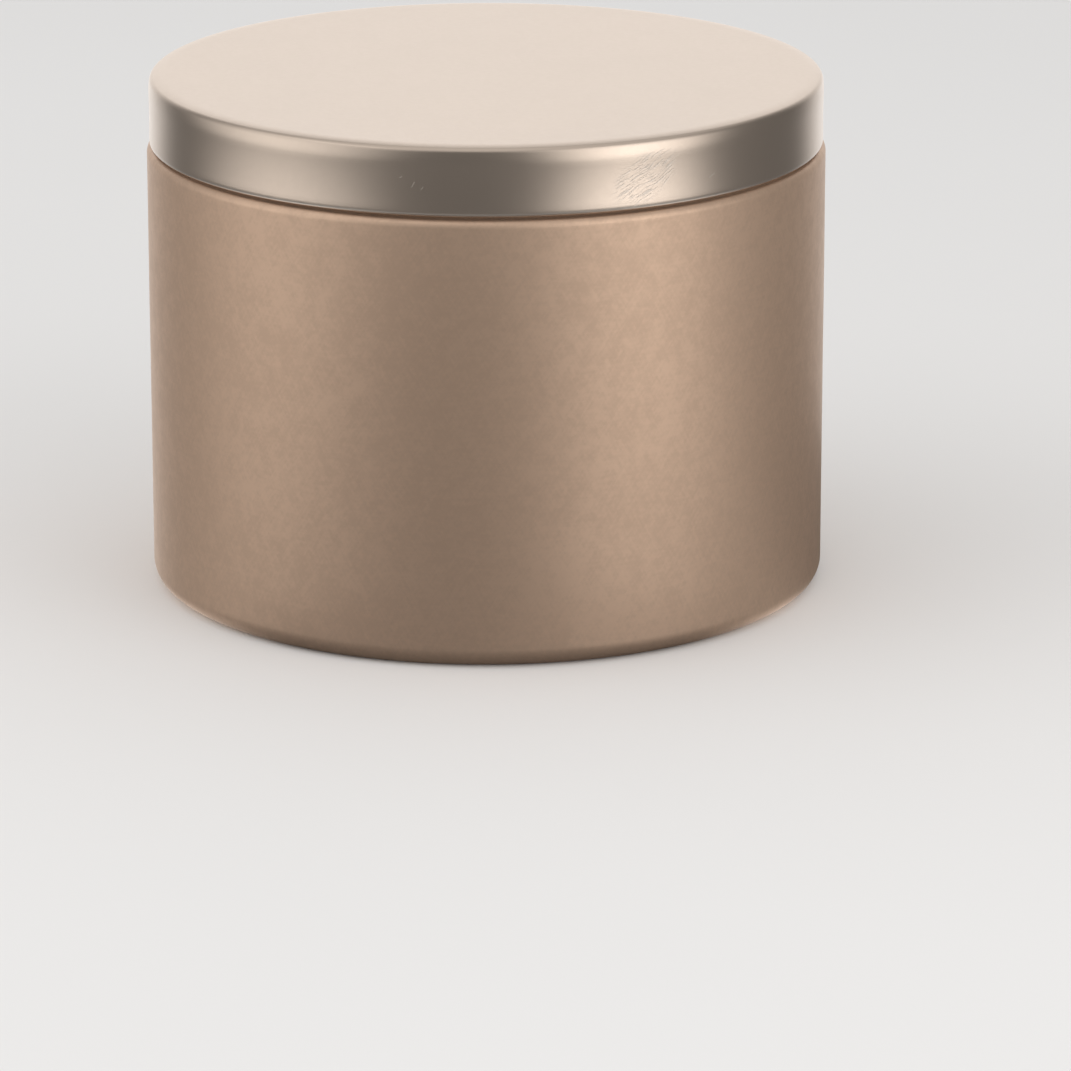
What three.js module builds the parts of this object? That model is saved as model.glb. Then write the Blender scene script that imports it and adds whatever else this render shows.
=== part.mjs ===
// A candle tin drawn from tinplate: a seamless can and a slip lid, two separate pieces.
// The can has a recessed base panel, a rounded bottom corner, and a shoulder that steps in to a
// neck whose edge is curled inward. The lid's skirt slides over the neck and ends in a flat hem,
// so that lid and can make one straight cylinder when the tin is closed.
// Millimetres, +Z up. The origin is the centre of the ring that the tin stands on.
import * as THREE from "three";

// Driving dimensions, all to the outside of the metal.
const CAN_RADIUS = 40;
const HEIGHT = 61; // from the table to the top of the closed lid
const LID_DEPTH = 8; // from the lid's top to the bottom of its hem
const SHEET = 0.25; // tinplate with its lacquer
const HALF = SHEET / 2;

// The base: a flat panel stands clear of the table, inside the ring that touches it.
const PANEL_LIFT = 1;
const PANEL_STEP_BEND = 0.8; // centreline radius of both bends of the step
const STANDING_RING_INNER = 35.6;
const BOTTOM_CORNER = 2.2;

// The shoulder and the neck that the lid slides on.
const NECK_RADIUS = 38.85;
const SHOULDER_TO_HEM = 0.4; // the gap that shows under the closed lid
const SHOULDER_OUTER_BEND = 1.1;
const SHOULDER_INNER_BEND = 0.5;
const RIM_CURL = 0.6; // outside radius of the curled edge
const RIM_CURL_TURN = 270;
const RIM_TO_LID = 0.1; // clearance under the closed lid's top

// The lid.
const LID_RADIUS = 39.7;
const LID_CORNER = 0.7;
const HEM_BEND = 0.35; // outside radius of the fold at the skirt's bottom edge
const HEM_RETURN = 0.9; // how far the folded sheet runs back up inside the skirt

// Facets.
const SEGMENTS = 72;
const DEGREES_PER_FACET = 30;

// A sheet's cross-section, walked in the plane of radius and height as a press would form it:
// straight runs and bends. It keeps an outline half a sheet to either side of the centreline.
class SheetSection {
  constructor(radius, height) {
    this.at = new THREE.Vector2(radius, height);
    this.heading = 0; // 0 leads away from the axis, 90 degrees leads up
    this.left = [];
    this.right = [];
    this.mark();
  }

  mark() {
    const normal = new THREE.Vector2(-Math.sin(this.heading), Math.cos(this.heading));
    this.left.push(this.at.clone().addScaledVector(normal, HALF));
    this.right.push(this.at.clone().addScaledVector(normal, -HALF));
  }

  forward(length) {
    const direction = new THREE.Vector2(Math.cos(this.heading), Math.sin(this.heading));
    this.at.addScaledVector(direction, length);
  }

  run(length) {
    this.forward(length);
    this.mark();
    return this;
  }

  runToRadius(radius) {
    return this.run((radius - this.at.x) / Math.cos(this.heading));
  }

  runToHeight(height) {
    return this.run((height - this.at.y) / Math.sin(this.heading));
  }

  // Turns through an angle on a centreline of this radius. A positive angle turns left, from
  // outwards to upwards to inwards.
  bend(radius, degrees) {
    const facets = Math.ceil(Math.abs(degrees) / DEGREES_PER_FACET);
    const turn = THREE.MathUtils.degToRad(degrees) / facets;
    const chord = 2 * radius * Math.sin(Math.abs(turn) / 2);
    for (let i = 0; i < facets; i++) {
      this.heading += turn / 2;
      this.forward(chord);
      this.heading += turn / 2;
      this.mark();
    }
    return this;
  }

  // The closed outline, from the axis along one face of the sheet and back along the other.
  outline() {
    return [...this.right, ...this.left.toReversed()];
  }
}

// How far an arc has travelled along its tangent by the time it has left it by this inset.
function arcRise(radius, inset) {
  return Math.sqrt(radius ** 2 - (radius - inset) ** 2);
}

// The angle of an S of two bends that moves a sheet sideways by this much.
function jogDegrees(offset, firstBend, secondBend) {
  return THREE.MathUtils.radToDeg(Math.acos(1 - offset / (firstBend + secondBend)));
}

function jogLength(degrees, firstBend, secondBend) {
  return (firstBend + secondBend) * Math.sin(THREE.MathUtils.degToRad(degrees));
}

function canSection() {
  const stepAngle = jogDegrees(PANEL_LIFT, PANEL_STEP_BEND, PANEL_STEP_BEND);
  const stepLength = jogLength(stepAngle, PANEL_STEP_BEND, PANEL_STEP_BEND);

  const outerBend = SHOULDER_OUTER_BEND - HALF;
  const innerBend = SHOULDER_INNER_BEND + HALF;
  const shoulderAngle = jogDegrees(CAN_RADIUS - NECK_RADIUS, outerBend, innerBend);
  const hemRadius = LID_RADIUS - HEM_BEND;
  const riseUnderHem = arcRise(SHOULDER_OUTER_BEND, CAN_RADIUS - hemRadius);
  const shoulderStart = HEIGHT - LID_DEPTH - SHOULDER_TO_HEM - riseUnderHem;
  const rimTop = HEIGHT - SHEET - RIM_TO_LID;

  return new SheetSection(0, PANEL_LIFT + HALF)
    .runToRadius(STANDING_RING_INNER - stepLength)
    .bend(PANEL_STEP_BEND, -stepAngle)
    .bend(PANEL_STEP_BEND, stepAngle)
    .runToRadius(CAN_RADIUS - BOTTOM_CORNER)
    .bend(BOTTOM_CORNER - HALF, 90)
    .runToHeight(shoulderStart)
    .bend(outerBend, shoulderAngle)
    .bend(innerBend, -shoulderAngle)
    .runToHeight(rimTop - RIM_CURL)
    .bend(RIM_CURL - HALF, RIM_CURL_TURN);
}

function lidSection() {
  const hemBottom = HEIGHT - LID_DEPTH;
  return new SheetSection(0, HEIGHT - HALF)
    .runToRadius(LID_RADIUS - LID_CORNER)
    .bend(LID_CORNER - HALF, -90)
    .runToHeight(hemBottom + HEM_BEND)
    .bend(HEM_BEND - HALF, -180)
    .run(HEM_RETURN);
}

// Spins a section round the axis. LatheGeometry turns about Y, so the result is tipped up to Z.
function drawnPiece(name, section, material) {
  const geometry = new THREE.LatheGeometry(section.outline(), SEGMENTS).rotateX(Math.PI / 2);
  const mesh = new THREE.Mesh(geometry, material);
  mesh.name = name;
  return mesh;
}

const canLacquer = new THREE.MeshStandardMaterial({ color: 0xb89c82, roughness: 0.38, metalness: 1 });
const lidLacquer = new THREE.MeshStandardMaterial({ color: 0xc9b8a6, roughness: 0.26, metalness: 1 });

const candleTin = new THREE.Group();
candleTin.add(drawnPiece("tin_body", canSection(), canLacquer));
candleTin.add(drawnPiece("lid", lidSection(), lidLacquer));

export default candleTin;
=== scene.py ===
"""The looks of a candle tin: a seamless can and a slip lid, pressed from tinplate with a
champagne-gold lacquer. Both are redrawn as fine sheet-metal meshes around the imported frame."""
import math

import bpy
from mathutils import Matrix, Vector, noise


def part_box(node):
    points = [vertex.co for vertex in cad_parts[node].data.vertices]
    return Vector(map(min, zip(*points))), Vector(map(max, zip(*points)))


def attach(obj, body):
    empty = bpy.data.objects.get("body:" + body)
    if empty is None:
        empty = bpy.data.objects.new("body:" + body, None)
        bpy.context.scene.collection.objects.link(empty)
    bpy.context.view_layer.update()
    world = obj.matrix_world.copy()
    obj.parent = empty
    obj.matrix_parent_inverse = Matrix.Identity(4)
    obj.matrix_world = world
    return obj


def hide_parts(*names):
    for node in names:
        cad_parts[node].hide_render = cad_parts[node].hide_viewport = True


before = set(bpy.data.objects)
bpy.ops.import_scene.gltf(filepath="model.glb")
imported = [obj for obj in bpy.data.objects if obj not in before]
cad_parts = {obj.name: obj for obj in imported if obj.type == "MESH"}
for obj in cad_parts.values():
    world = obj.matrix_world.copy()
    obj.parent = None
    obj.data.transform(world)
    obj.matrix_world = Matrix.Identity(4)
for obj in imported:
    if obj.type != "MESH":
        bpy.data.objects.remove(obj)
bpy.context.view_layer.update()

MM = 0.001

# ---------------------------------------------------------------- sizes, in metres
CAN_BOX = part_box("tin_body")
LID_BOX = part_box("lid")
CAN_RADIUS = CAN_BOX[1].x
RIM_TOP = CAN_BOX[1].z
LID_RADIUS = LID_BOX[1].x
LID_TOP = LID_BOX[1].z
HEM_BOTTOM = LID_BOX[0].z

SHEET = 0.25 * MM
HALF = SHEET / 2
PANEL_LIFT = 1.0 * MM
PANEL_STEP_BEND = 0.8 * MM
STANDING_RING_INNER = 35.6 * MM
BOTTOM_CORNER = 2.2 * MM
NECK_RADIUS = 38.85 * MM
SHOULDER_TO_HEM = 0.4 * MM
SHOULDER_OUTER_BEND = 0.9 * MM
SHOULDER_INNER_BEND = 0.5 * MM
RIM_CURL = 0.6 * MM
LID_CORNER = 0.7 * MM
CORNER_EASE = 12
CORNER_EASE_BEND = 6.0 * MM
SKIRT_FLARE = 1.8
HEM_EASE = 11
HEM_EASE_BEND = 1.8 * MM
HEM_BEND = 0.3 * MM
HEM_FOLD = 0.35 * MM
HEM_RETURN = 0.4 * MM

# ---------------------------------------------------------------- mesh fineness
SEGMENTS = 256
DEGREES_PER_FACET = 7.5
RUN_STEP = 2.5 * MM
BEND_STEP = 0.6 * MM
SUPPORT = 0.25 * MM
WOBBLE = 0.02 * MM
WOBBLE_LENGTH = 14 * MM
ON_AXIS = 1e-9

# the material slots of a drawn piece
OUTER_FACE = 0
INNER_FACE = 1
CUT_EDGE = 2


class SheetSection:
    """A sheet's cross-section in the plane of radius and height, walked as a press forms it.

    It starts on the axis. Heading 0 leads away from the axis and 90 degrees leads up. left and
    right are the sheet's two faces, half a sheet from the centreline."""

    def __init__(self, radius, height, degrees=0):
        self.at = Vector((radius, height))
        self.heading = math.radians(degrees)
        self.left = []
        self.right = []
        self.mark()

    def mark(self):
        normal = Vector((-math.sin(self.heading), math.cos(self.heading)))
        self.left.append(self.at + normal * HALF)
        self.right.append(self.at - normal * HALF)

    def forward(self, length):
        self.at += Vector((math.cos(self.heading), math.sin(self.heading))) * length

    def run(self, length):
        """A straight run, with a support ring near each end so that its shading stays flat."""
        ends = min(SUPPORT, length / 4)
        inner = length - 2 * ends
        steps = max(1, round(inner / RUN_STEP))
        for step in (ends, *[inner / steps] * steps, ends):
            self.forward(step)
            self.mark()
        return self

    def run_to_radius(self, radius):
        return self.run((radius - self.at.x) / math.cos(self.heading))

    def run_to_height(self, height):
        return self.run((height - self.at.y) / math.sin(self.heading))

    def bend(self, radius, degrees):
        """Turns on a centreline of this radius, to the left if degrees is positive."""
        arc = radius * math.radians(abs(degrees))
        facets = max(2, math.ceil(abs(degrees) / DEGREES_PER_FACET), math.ceil(arc / BEND_STEP))
        turn = math.radians(degrees) / facets
        chord = 2 * radius * math.sin(abs(turn) / 2)
        for _ in range(facets):
            self.heading += turn / 2
            self.forward(chord)
            self.heading += turn / 2
            self.mark()
        return self


def jog_degrees(offset, first_bend, second_bend):
    return math.degrees(math.acos(1 - offset / (first_bend + second_bend)))


def jog_length(degrees, first_bend, second_bend):
    return (first_bend + second_bend) * math.sin(math.radians(degrees))


def arc_rise(radius, inset):
    return math.sqrt(radius**2 - (radius - inset) ** 2)


def can_section():
    step_angle = jog_degrees(PANEL_LIFT, PANEL_STEP_BEND, PANEL_STEP_BEND)
    step_length = jog_length(step_angle, PANEL_STEP_BEND, PANEL_STEP_BEND)
    outer_bend = SHOULDER_OUTER_BEND - HALF
    inner_bend = SHOULDER_INNER_BEND + HALF
    shoulder_angle = jog_degrees(CAN_RADIUS - NECK_RADIUS, outer_bend, inner_bend)
    rise_under_hem = arc_rise(SHOULDER_OUTER_BEND, CAN_RADIUS - LID_RADIUS + HEM_FOLD)
    shoulder_start = HEM_BOTTOM - SHOULDER_TO_HEM - rise_under_hem
    return (
        SheetSection(0, PANEL_LIFT + HALF)
        .run_to_radius(STANDING_RING_INNER - step_length)
        .bend(PANEL_STEP_BEND, -step_angle)
        .bend(PANEL_STEP_BEND, step_angle)
        .run_to_radius(CAN_RADIUS - BOTTOM_CORNER)
        .bend(BOTTOM_CORNER - HALF, 90)
        .run_to_height(shoulder_start)
        .bend(outer_bend, shoulder_angle)
        .bend(inner_bend, -shoulder_angle)
        .run_to_height(RIM_TOP - RIM_CURL)
        .bend(RIM_CURL - HALF, 270)
    )


def lid_hem(section):
    """The skirt's edge, eased inwards and folded back up inside."""
    fold = HEM_BEND - HALF
    section.bend(HEM_EASE_BEND, -HEM_EASE).bend(fold, -180)
    return section.bend(HEM_EASE_BEND - 2 * fold, HEM_EASE).run(HEM_RETURN)


def walk_lid(corner_start):
    """Top, corner and skirt. The corner is tight in its middle and slow at both its ends, and the
    skirt starts SKIRT_FLARE degrees inwards and ends as far outwards."""
    section = SheetSection(0, LID_TOP - HALF)
    section.run_to_radius(corner_start)
    section.bend(CORNER_EASE_BEND, -CORNER_EASE)
    section.bend(LID_CORNER - HALF, 2 * CORNER_EASE - 90 - SKIRT_FLARE)
    section.bend(CORNER_EASE_BEND, -CORNER_EASE)
    hem = lid_hem(SheetSection(0, 0, SKIRT_FLARE - 90))
    fall = section.at.y - HEM_BOTTOM + min(point.y for point in hem.left)
    section.bend(fall / (2 * math.sin(math.radians(SKIRT_FLARE))), 2 * SKIRT_FLARE)
    return lid_hem(section)


def lid_section():
    """The lid, with its widest place at LID_RADIUS."""
    beyond_corner = max(point.x for point in walk_lid(0).left)
    return walk_lid(LID_RADIUS - beyond_corner)


def wobble(place):
    """A faint unevenness of drawn sheet, outwards from the axis, the same on both faces."""
    out = Vector((place.x, place.y, 0))
    if out.length < MM:
        return place
    return place + out.normalized() * WOBBLE * noise.noise(place / WOBBLE_LENGTH)


def drawn_piece(name, outer, inner, materials):
    """Spins a sheet round the axis. outer and inner are its two faces from the axis to the cut
    edge, and materials are those of the outer face, the inner face and the cut edge.

    The can's outer face is its underside and the lid's is its top, so the corners of a face are
    walked one way or the other to have it look away from the metal."""
    outline = [*outer, *reversed(inner)]
    cut = len(outer) - 1
    faces_up = outer[0].y > inner[0].y
    vertices = []
    rings = []
    for point in outline:
        if point.x < ON_AXIS:
            rings.append([len(vertices)] * SEGMENTS)
            vertices.append(Vector((0, 0, point.y)))
            continue
        rings.append(list(range(len(vertices), len(vertices) + SEGMENTS)))
        for i in range(SEGMENTS):
            angle = 2 * math.pi * i / SEGMENTS
            place = Vector((point.x * math.cos(angle), point.x * math.sin(angle), point.y))
            vertices.append(wobble(place))
    faces = []
    slots = []
    for k, (a, b) in enumerate(zip(rings, rings[1:])):
        for i in range(SEGMENTS):
            j = (i + 1) % SEGMENTS
            corners = list(dict.fromkeys((a[i], b[i], b[j], a[j])))
            faces.append(corners if faces_up else corners[::-1])
            slots.append(OUTER_FACE if k < cut else CUT_EDGE if k == cut else INNER_FACE)
    mesh = bpy.data.meshes.new(name)
    mesh.from_pydata(vertices, [], faces)
    for material in materials:
        mesh.materials.append(material)
    mesh.polygons.foreach_set("material_index", slots)
    mesh.shade_smooth()
    mesh.update()
    piece = bpy.data.objects.new(name, mesh)
    bpy.context.scene.collection.objects.link(piece)
    return piece


# ---------------------------------------------------------------- material building blocks
class Nodes:
    """A material's node tree, with a short call for each kind of node that is used here."""

    def __init__(self, name):
        self.material = bpy.data.materials.new(name)
        self.material.use_nodes = True
        self.tree = self.material.node_tree
        self.shader = self.tree.nodes["Principled BSDF"]
        coordinates = self.tree.nodes.new("ShaderNodeTexCoord").outputs["Object"]
        self.mm = self.vector("SCALE", coordinates, scale=1 / MM)

    def put(self, socket, value):
        if isinstance(value, bpy.types.NodeSocket):
            self.tree.links.new(value, socket)
        else:
            socket.default_value = value

    def vector(self, operation, a, b=None, scale=None):
        node = self.tree.nodes.new("ShaderNodeVectorMath")
        node.operation = operation
        self.put(node.inputs[0], a)
        if b is not None:
            self.put(node.inputs[1], b)
        if scale is not None:
            node.inputs["Scale"].default_value = scale
        return node.outputs["Value" if operation == "DOT_PRODUCT" else "Vector"]

    def math(self, operation, a, b=0.0):
        node = self.tree.nodes.new("ShaderNodeMath")
        node.operation = operation
        self.put(node.inputs[0], a)
        self.put(node.inputs[1], b)
        return node.outputs[0]

    def split(self, vector):
        node = self.tree.nodes.new("ShaderNodeSeparateXYZ")
        self.put(node.inputs[0], vector)
        return node.outputs

    def join(self, x, y, z):
        node = self.tree.nodes.new("ShaderNodeCombineXYZ")
        for socket, value in zip(node.inputs, (x, y, z)):
            self.put(socket, value)
        return node.outputs[0]

    def twist(self, vector, angle):
        node = self.tree.nodes.new("ShaderNodeVectorRotate")
        node.rotation_type = "Z_AXIS"
        self.put(node.inputs["Vector"], vector)
        self.put(node.inputs["Angle"], angle)
        return node.outputs[0]

    def noise(self, vector, scale, detail=2.0, roughness=0.5):
        node = self.tree.nodes.new("ShaderNodeTexNoise")
        self.put(node.inputs["Vector"], vector)
        node.inputs["Scale"].default_value = scale
        node.inputs["Detail"].default_value = detail
        node.inputs["Roughness"].default_value = roughness
        return node.outputs["Fac"]

    def ramp(self, value, low, high, to_low=0.0, to_high=1.0):
        """Goes smoothly from to_low, where value is low, to to_high, where it is high."""
        node = self.tree.nodes.new("ShaderNodeMapRange")
        node.interpolation_type = "SMOOTHSTEP"
        self.put(node.inputs["Value"], value)
        node.inputs["From Min"].default_value = low
        node.inputs["From Max"].default_value = high
        node.inputs["To Min"].default_value = to_low
        node.inputs["To Max"].default_value = to_high
        return node.outputs["Result"]

    def mix(self, share, a, b):
        node = self.tree.nodes.new("ShaderNodeMix")
        node.data_type = "RGBA"
        self.put(node.inputs["Factor"], share)
        self.put(node.inputs["A"], a)
        self.put(node.inputs["B"], b)
        return node.outputs["Result"]

    def bump(self, height, depth, normal=None):
        node = self.tree.nodes.new("ShaderNodeBump")
        node.inputs["Distance"].default_value = depth
        self.put(node.inputs["Height"], height)
        if normal is not None:
            self.put(node.inputs["Normal"], normal)
        return node.outputs[0]

    def finish(self, color, roughness, normal, metallic=1.0):
        self.put(self.shader.inputs["Base Color"], color)
        self.put(self.shader.inputs["Roughness"], roughness)
        if normal is not None:
            self.put(self.shader.inputs["Normal"], normal)
        self.shader.inputs["Metallic"].default_value = metallic
        return self.material


def color(red, green, blue):
    return (red, green, blue, 1.0)


def wall_strokes(nodes, slant, fineness, length):
    """Short strokes on the wall, slant degrees from upright, with no seam at the back.

    fineness is how many strokes lie side by side in a millimetre and length is a stroke's, in mm."""
    height = nodes.split(nodes.mm)[2]
    turn = math.tan(math.radians(slant)) / (CAN_RADIUS / MM)
    twisted = nodes.twist(nodes.mm, nodes.math("MULTIPLY", height, turn))
    stretched = nodes.vector("MULTIPLY", twisted, (fineness, fineness, 1 / length))
    return nodes.noise(stretched, 1.0, detail=1.0)


def hoop_strokes(nodes, fineness, length):
    """Strokes that run round the wall, with fineness and length as for wall_strokes."""
    stretched = nodes.vector("MULTIPLY", nodes.mm, (1 / length, 1 / length, fineness))
    return nodes.noise(stretched, 1.0, detail=1.0)


def scratch_coordinates(nodes, azimuth, height, tilt):
    """Distances in mm along and across a slanted line on the wall, from its middle.

    azimuth is 0 at the front and 90 at the right, and tilt is in degrees from level."""
    a, t = math.radians(azimuth), math.radians(tilt)
    sideways = Vector((math.cos(a), math.sin(a), 0))
    along = sideways * math.cos(t) + Vector((0, 0, math.sin(t)))
    across = Vector((0, 0, math.cos(t))) - sideways * math.sin(t)
    from_middle = nodes.vector("SUBTRACT", nodes.mm, (0, 0, height))
    return nodes.vector("DOT_PRODUCT", from_middle, along), nodes.vector("DOT_PRODUCT", from_middle, across)


def facing(nodes, azimuth):
    """1 on the side of the wall that faces this azimuth, and 0 on the far side."""
    a = math.radians(azimuth)
    outward = nodes.vector("DOT_PRODUCT", nodes.mm, (math.sin(a), -math.cos(a), 0))
    return nodes.ramp(outward, 0, 10)


def scratch(nodes, azimuth, height, tilt, length, width):
    along, across = scratch_coordinates(nodes, azimuth, height, tilt)
    near_line = nodes.ramp(nodes.math("ABSOLUTE", across), width / 2, width)
    near_middle = nodes.ramp(nodes.math("ABSOLUTE", along), length / 2 - width, length / 2)
    away = nodes.math("MAXIMUM", near_line, near_middle)
    return nodes.math("MULTIPLY", nodes.math("SUBTRACT", 1.0, away), facing(nodes, azimuth))


HAIRLINE_LENGTHWISE = 0.45
HAIRLINES_PER_MM = 5.5


def rubbed_patch(nodes, azimuth, height, tilt, length, breadth):
    """A soft-edged patch of fine hairlines, all at nearly the same tilt."""
    along, across = scratch_coordinates(nodes, azimuth, height, tilt)
    u = nodes.math("DIVIDE", along, length / 2)
    v = nodes.math("DIVIDE", across, breadth / 2)
    reach = nodes.math("ADD", nodes.math("MULTIPLY", u, u), nodes.math("MULTIPLY", v, v))
    patch = nodes.math("MULTIPLY", nodes.ramp(reach, 1.0, 0.2), facing(nodes, azimuth))
    bent = nodes.math("ADD", across, nodes.noise(nodes.mm, 0.3))
    lengthwise = nodes.math("MULTIPLY", along, HAIRLINE_LENGTHWISE)
    sideways = nodes.math("MULTIPLY", bent, HAIRLINES_PER_MM)
    lines = nodes.noise(nodes.join(lengthwise, sideways, 0.0), 1.0)
    return nodes.math("MULTIPLY", patch, nodes.ramp(lines, 0.5, 0.62))


CAN_GOLD = color(0.68, 0.482, 0.35)
LID_GOLD = color(0.67, 0.555, 0.46)
BARE_TIN = color(0.78, 0.76, 0.72)
BARE_TIN_DEEP = color(0.75, 0.73, 0.69)
CUT_STEEL = color(0.42, 0.40, 0.38)
FLOOR_WHITE = color(0.82, 0.81, 0.80)
FLOOR_WHITE_DEEP = color(0.80, 0.79, 0.78)
FLAG_BLACK = color(0.03, 0.03, 0.035)


def shaded(base, share):
    return color(*(channel * share for channel in base[:3]))


def can_lacquer():
    """Champagne lacquer on the can: warm satin, with a fine peel and short strokes every way."""
    nodes = Nodes("can_lacquer_outside")
    cloud = nodes.noise(nodes.mm, 0.07, detail=2.0)
    mottle = nodes.noise(nodes.mm, 0.45, detail=4.0, roughness=0.65)
    slanted = nodes.math("ADD", wall_strokes(nodes, 28, 2.4, 1.5), wall_strokes(nodes, -34, 2.4, 1.5))
    level = hoop_strokes(nodes, 2.4, 1.5)
    strokes = nodes.math("ADD", nodes.math("MULTIPLY", slanted, 0.33), nodes.math("MULTIPLY", level, 0.33))
    shade = nodes.math("ADD", nodes.math("MULTIPLY", cloud, 0.2), nodes.math("MULTIPLY", mottle, 0.35))
    shade = nodes.math("ADD", shade, nodes.math("MULTIPLY", strokes, 0.45))
    tint = nodes.mix(nodes.ramp(shade, 0.4, 0.6), shaded(CAN_GOLD, 0.945), shaded(CAN_GOLD, 1.045))
    rough = nodes.ramp(shade, 0.4, 0.6, 0.51, 0.47)
    peel = nodes.bump(mottle, 0.0012 * MM)
    grain = nodes.bump(strokes, 0.0025 * MM, peel)
    return nodes.finish(tint, rough, grain, metallic=0.84)


# azimuth in degrees, height in mm, tilt in degrees, and length and width in mm
SKIRT_SCRATCHES = (
    (-12, 56.6, 60, 0.8, 0.05),
    (-10.5, 56.2, 52, 0.5, 0.05),
    (-14, 57.4, 40, 0.4, 0.05),
    (40, 55.6, 24, 1.0, 0.05),
    (-48, 56.0, 70, 0.5, 0.05),
)


def lid_lacquer():
    """The same lacquer on the lid: paler and glossier, rubbed on the skirt, and paler at the hem, where the
    bare-tin colour is partly worn lacquer and partly a painted highlight.
    """
    nodes = Nodes("lid_lacquer_outside")
    height = nodes.split(nodes.mm)[2]
    skirt = nodes.ramp(height, (LID_TOP - LID_CORNER) / MM + 0.6, (LID_TOP - LID_CORNER) / MM)
    # band of the hem's lower rounding, which gets a painted highlight (partly also worn lacquer) below
    hem = nodes.ramp(height, HEM_BOTTOM / MM + 0.5, HEM_BOTTOM / MM + 0.1)
    cloud = nodes.noise(nodes.mm, 0.1, detail=2.0)
    mottle = nodes.noise(nodes.mm, 1.6, detail=3.0, roughness=0.6)
    strokes = nodes.math("ADD", wall_strokes(nodes, 40, 3.0, 1.4), hoop_strokes(nodes, 3.0, 1.6))
    marks = rubbed_patch(nodes, azimuth=27, height=56.6, tilt=30, length=11, breadth=6)
    for azimuth, at, tilt, length, width in SKIRT_SCRATCHES:
        marks = nodes.math("MAXIMUM", marks, scratch(nodes, azimuth, at, tilt, length, width))
    shade = nodes.math("ADD", nodes.math("MULTIPLY", cloud, 0.5), nodes.math("MULTIPLY", mottle, 0.5))
    tint = nodes.mix(nodes.ramp(shade, 0.3, 0.7), shaded(LID_GOLD, 0.99), shaded(LID_GOLD, 1.01))
    # painted highlight, partly also worn lacquer: the hem's rounding is tinted towards pale bare tin
    tint = nodes.mix(nodes.math("MULTIPLY", hem, 0.6), tint, BARE_TIN)
    tint = nodes.mix(nodes.math("MULTIPLY", marks, 0.28), tint, BARE_TIN)
    satin = nodes.ramp(skirt, 0.0, 1.0, 0.36, 0.285)
    rough = nodes.math("ADD", satin, nodes.ramp(mottle, 0.3, 0.7, 0.01, -0.01))
    rough = nodes.math("ADD", rough, nodes.math("MULTIPLY", marks, 0.14))
    peel = nodes.bump(mottle, 0.00015 * MM)
    grain = nodes.bump(strokes, 0.00015 * MM, peel)
    scratched = nodes.bump(marks, -0.006 * MM, grain)
    return nodes.finish(tint, rough, scratched, metallic=0.97)


def bare_tin(name):
    """The inside: plain tinplate with the fine grain that rolling and drawing leave in it."""
    nodes = Nodes(name)
    cloud = nodes.noise(nodes.mm, 0.05, detail=1.0)
    grain = nodes.math("ADD", wall_strokes(nodes, 4, 5.0, 6.0), hoop_strokes(nodes, 4.0, 3.0))
    tint = nodes.mix(nodes.ramp(cloud, 0.3, 0.7), BARE_TIN_DEEP, BARE_TIN)
    satin = nodes.ramp(cloud, 0.3, 0.7, 0.34, 0.38)
    rough = nodes.math("ADD", satin, nodes.ramp(grain, 0.7, 1.3, -0.02, 0.02))
    return nodes.finish(tint, rough, nodes.bump(grain, 0.0004 * MM), metallic=0.85)


def cut_edge(name):
    """The bare steel at the sheet's cut edge."""
    nodes = Nodes(name)
    grain = nodes.noise(nodes.mm, 8.0, detail=2.0)
    tint = nodes.mix(grain, CUT_STEEL, BARE_TIN_DEEP)
    return nodes.finish(tint, nodes.ramp(grain, 0.2, 0.8, 0.4, 0.6), nodes.bump(grain, 0.01 * MM))


# ---------------------------------------------------------------- the object
def make_can():
    section = can_section()
    materials = [can_lacquer(), bare_tin("can_inside"), cut_edge("can_cut_edge")]
    piece = drawn_piece("drawn_can", section.right, section.left, materials)
    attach(piece, "tin")
    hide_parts("tin_body")


def make_lid():
    section = lid_section()
    materials = [lid_lacquer(), bare_tin("lid_inside"), cut_edge("lid_cut_edge")]
    piece = drawn_piece("pressed_lid", section.left, section.right, materials)
    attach(piece, "lid")
    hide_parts("lid")


# ---------------------------------------------------------------- the studio
CAMERA_DISTANCE = 0.74
CAMERA_ELEVATION = 14.84
CAMERA_LENS = 208.9
SENSOR_WIDTH = 36
AIM_RIGHT = 5.74 * MM
AIM_BELOW = 25.5 * MM
FLOOR_SIZE = 8.0
FLOOR_SPECULAR = 0.1
MATT = 0.9
WORLD_BRIGHTNESS = 0.8
DIM = 0.13
BACK_WALL = 1.35
GROUND = 0.95
CEILING = 0.7
LAMP_DISTANCE = 0.6
LAMP_MIDDLE = 0.5
LAMP_FOOT = 1.15
LAMP_HEAD = 0.6


def make_floor():
    bpy.ops.mesh.primitive_plane_add(size=FLOOR_SIZE)
    floor = bpy.context.object
    floor.name = "floor"
    nodes = Nodes("floor")
    shade = nodes.noise(nodes.mm, 0.01)
    tint = nodes.mix(shade, FLOOR_WHITE_DEEP, FLOOR_WHITE)
    material = nodes.finish(tint, MATT, nodes.bump(shade, 0.1 * MM), metallic=0.0)
    nodes.shader.inputs["Specular IOR Level"].default_value = FLOOR_SPECULAR
    floor.data.materials.append(material)
    floor.visible_glossy = False
    floor.visible_shadow = False


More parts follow.
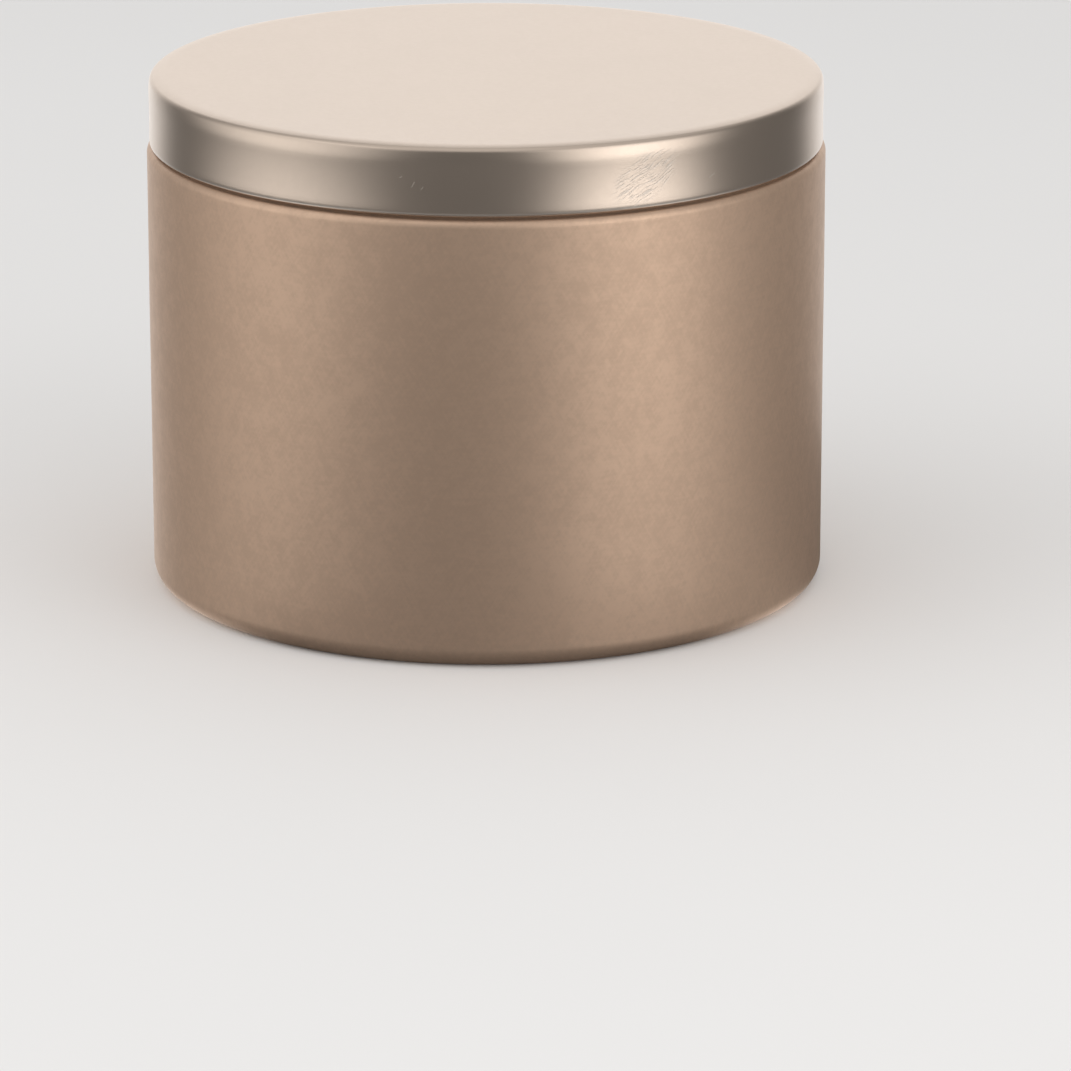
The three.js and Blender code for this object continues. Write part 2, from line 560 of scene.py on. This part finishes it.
def fade_out(lamp):
    """Makes the lamp brightest at its foot, and fades it out to its two upright edges."""
    lamp.use_nodes = True
    tree = lamp.node_tree
    place = tree.nodes.new("ShaderNodeNewGeometry").outputs["Parametric"]
    split = tree.nodes.new("ShaderNodeSeparateXYZ")
    tree.links.new(place, split.inputs[0])
    ping = tree.nodes.new("ShaderNodeMath")
    ping.operation = "PINGPONG"
    ping.inputs[1].default_value = LAMP_MIDDLE
    tree.links.new(split.outputs["X"], ping.inputs[0])
    fade = tree.nodes.new("ShaderNodeMapRange")
    fade.interpolation_type = "SMOOTHSTEP"
    tree.links.new(ping.outputs[0], fade.inputs["Value"])
    fade.inputs["From Max"].default_value = LAMP_MIDDLE
    upward = tree.nodes.new("ShaderNodeMapRange")
    tree.links.new(split.outputs["Y"], upward.inputs["Value"])
    upward.inputs["To Min"].default_value = LAMP_FOOT
    upward.inputs["To Max"].default_value = LAMP_HEAD
    both = tree.nodes.new("ShaderNodeMath")
    both.operation = "MULTIPLY"
    tree.links.new(fade.outputs["Result"], both.inputs[0])
    tree.links.new(upward.outputs["Result"], both.inputs[1])
    tree.links.new(both.outputs[0], tree.nodes["Emission"].inputs["Strength"])


def make_softbox(name, azimuth, elevation, width, height, brightness):
    """A soft area light that faces the tin. Azimuth 0 is the camera's side and 90 is its right."""
    lamp = bpy.data.lights.new(name, "AREA")
    lamp.shape = "RECTANGLE"
    lamp.size, lamp.size_y = width, height
    lamp.energy = brightness * math.pi * width * height
    fade_out(lamp)
    softbox = bpy.data.objects.new(name, lamp)
    a, e = math.radians(azimuth), math.radians(elevation)
    away = Vector((math.sin(a) * math.cos(e), -math.cos(a) * math.cos(e), math.sin(e)))
    centre = Vector((0, 0, LID_TOP / 2))
    softbox.location = centre + away * LAMP_DISTANCE
    softbox.rotation_euler = away.to_track_quat("Z", "Y").to_euler()
    softbox.visible_camera = False
    bpy.context.scene.collection.objects.link(softbox)


def make_flag(name, azimuth, distance, width, depth, sink):
    """A soft-edged dark card in the ground beside the tin, in mm, which only reflections see.

    Two cards that overlap are sunk by different depths, so that neither cuts into the other."""
    turn = Matrix.Rotation(math.radians(azimuth), 3, "Z")
    corners = ((-1, -1), (1, -1), (1, 1), (-1, 1))
    places = [turn @ Vector((i * width / 2, j * depth / 2 - distance, -sink)) * MM for i, j in corners]
    mesh = bpy.data.meshes.new(name)
    mesh.from_pydata(places, [], [(0, 1, 2, 3)])
    flag = bpy.data.objects.new(name, mesh)
    nodes = Nodes(name)
    x, y, _ = nodes.split(nodes.twist(nodes.mm, -math.radians(azimuth)))
    u = nodes.math("DIVIDE", x, width / 2)
    v = nodes.math("DIVIDE", nodes.math("ADD", y, distance), depth / 2)
    reach = nodes.math("ADD", nodes.math("MULTIPLY", u, u), nodes.math("MULTIPLY", v, v))
    nodes.put(nodes.shader.inputs["Alpha"], nodes.ramp(reach, 1.0, 0.4))
    mesh.materials.append(nodes.finish(FLAG_BLACK, MATT, None, metallic=0.0))
    for kind in ("visible_camera", "visible_diffuse", "visible_shadow", "visible_transmission"):
        setattr(flag, kind, False)
    bpy.context.scene.collection.objects.link(flag)


def make_world():
    """A plain white studio. In reflections it is dim, with a lit back wall, ceiling and ground."""
    world = bpy.data.worlds.new("studio")
    world.use_nodes = True
    tree = world.node_tree
    links = tree.links
    background = tree.nodes["Background"]
    direction = tree.nodes.new("ShaderNodeTexCoord").outputs["Generated"]
    split = tree.nodes.new("ShaderNodeSeparateXYZ")
    links.new(direction, split.inputs[0])

    def lit(axis, start, full, brightness):
        ramp = tree.nodes.new("ShaderNodeMapRange")
        ramp.interpolation_type = "SMOOTHSTEP"
        links.new(split.outputs[axis], ramp.inputs["Value"])
        ramp.inputs["From Min"].default_value = start
        ramp.inputs["From Max"].default_value = full
        ramp.inputs["To Min"].default_value = 0
        ramp.inputs["To Max"].default_value = brightness
        return ramp.outputs["Result"]

    def add(a, b):
        node = tree.nodes.new("ShaderNodeMath")
        for socket, value in zip(node.inputs, (a, b)):
            if isinstance(value, bpy.types.NodeSocket):
                links.new(value, socket)
            else:
                socket.default_value = value
        return node.outputs[0]

    back_wall = lit("Y", 0.62, 1.0, BACK_WALL - DIM)
    ground = lit("Z", -0.4, -0.75, GROUND - DIM)
    ceiling = lit("Z", 0.5, 0.95, CEILING - DIM)
    reflected = add(add(add(back_wall, ground), ceiling), DIM)
    path = tree.nodes.new("ShaderNodeLightPath")
    choose = tree.nodes.new("ShaderNodeMix")
    links.new(path.outputs["Is Glossy Ray"], choose.inputs["Factor"])
    choose.inputs["A"].default_value = WORLD_BRIGHTNESS
    links.new(reflected, choose.inputs["B"])
    links.new(choose.outputs["Result"], background.inputs["Strength"])
    background.inputs["Color"].default_value = color(1, 1, 1)
    world.cycles.sampling_method = "NONE"
    bpy.context.scene.world = world


def make_camera():
    lens = bpy.data.cameras.new("camera")
    lens.lens = CAMERA_LENS
    lens.sensor_width = SENSOR_WIDTH
    camera = bpy.data.objects.new("camera", lens)
    e = math.radians(CAMERA_ELEVATION)
    away = Vector((0, -math.cos(e), math.sin(e)))
    up = Vector((0, math.sin(e), math.cos(e)))
    centre = Vector((0, 0, LID_TOP / 2))
    camera.location = centre + away * CAMERA_DISTANCE
    aim = centre + Vector((1, 0, 0)) * AIM_RIGHT - up * AIM_BELOW
    camera.rotation_euler = (aim - camera.location).to_track_quat("-Z", "Y").to_euler()
    bpy.context.scene.collection.objects.link(camera)
    bpy.context.scene.camera = camera


make_camera()
make_floor()
make_world()
make_softbox("softbox_left", azimuth=-71, elevation=22, width=1.4, height=0.84, brightness=1.06)
make_softbox("softbox_right", azimuth=49, elevation=16, width=0.98, height=0.68, brightness=1.86)
make_flag("flag_front", azimuth=0, distance=64, width=140, depth=110, sink=0.1)
make_flag("flag_right", azimuth=108, distance=72, width=90, depth=120, sink=0.2)
make_can()
make_lid()
bpy.context.scene.view_settings.view_transform = "Standard"
